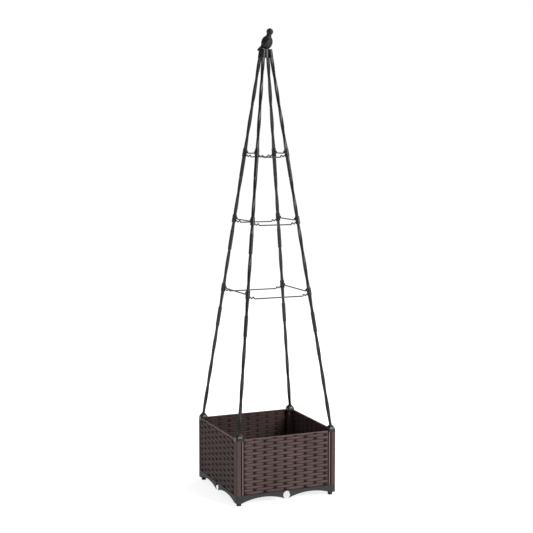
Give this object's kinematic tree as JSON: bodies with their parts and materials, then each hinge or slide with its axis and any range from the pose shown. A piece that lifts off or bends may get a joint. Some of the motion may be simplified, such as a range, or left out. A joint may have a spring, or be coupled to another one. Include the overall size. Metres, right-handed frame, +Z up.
{
  "type": "planter with trellis",
  "caption": "Square floor planter of woven-look panels on a scalloped base, with a pyramid trellis of twisted rods, clip-on rungs and a bird finial.",
  "frame": {"origin": "on the ground under the middle of the planter", "axes": "+Z up, the front faces -Y, +X to the right"},
  "size_m": [0.4, 0.4, 1.7339],
  "materials": {
    "weave": "dark brown moulded plastic, satin",
    "post": "dark brown moulded plastic, satin",
    "base": "black moulded plastic, satin",
    "cap": "black moulded plastic, satin",
    "rod": "black plastic, satin",
    "rung": "black plastic, satin"
  },
  "bodies": {
    "root": {"base_frame": "base", "floor_plate": "base", "foot_front_left": "base", "foot_front_right": "base", "foot_back_right": "base", "foot_back_left": "base", "post_front_left": "post", "post_front_right": "post", "post_back_right": "post", "post_back_left": "post", "panel_front": "weave", "panel_right": "weave", "panel_back": "weave", "panel_left": "weave", "cap_front_left": "cap", "cap_front_right": "cap", "cap_back_right": "cap", "cap_back_left": "cap", "rod_1_front_left": "rod", "rod_1_front_right": "rod", "rod_1_back_right": "rod", "rod_1_back_left": "rod", "rod_2_front_left": "rod", "rod_2_front_right": "rod", "rod_2_back_right": "rod", "rod_2_back_left": "rod", "rod_3_front_left": "rod", "rod_3_front_right": "rod", "rod_3_back_right": "rod", "rod_3_back_left": "rod", "rod_4_front_left": "rod", "rod_4_front_right": "rod", "rod_4_back_right": "rod", "rod_4_back_left": "rod", "rung_1_front": "rung", "rung_1_right": "rung", "rung_1_back": "rung", "rung_1_left": "rung", "rung_2_front": "rung", "rung_2_right": "rung", "rung_2_back": "rung", "rung_2_left": "rung", "rung_3_front": "rung", "rung_3_right": "rung", "rung_3_back": "rung", "rung_3_left": "rung", "hub": "cap", "bird_finial": "cap"}
  },
  "joints": []
}
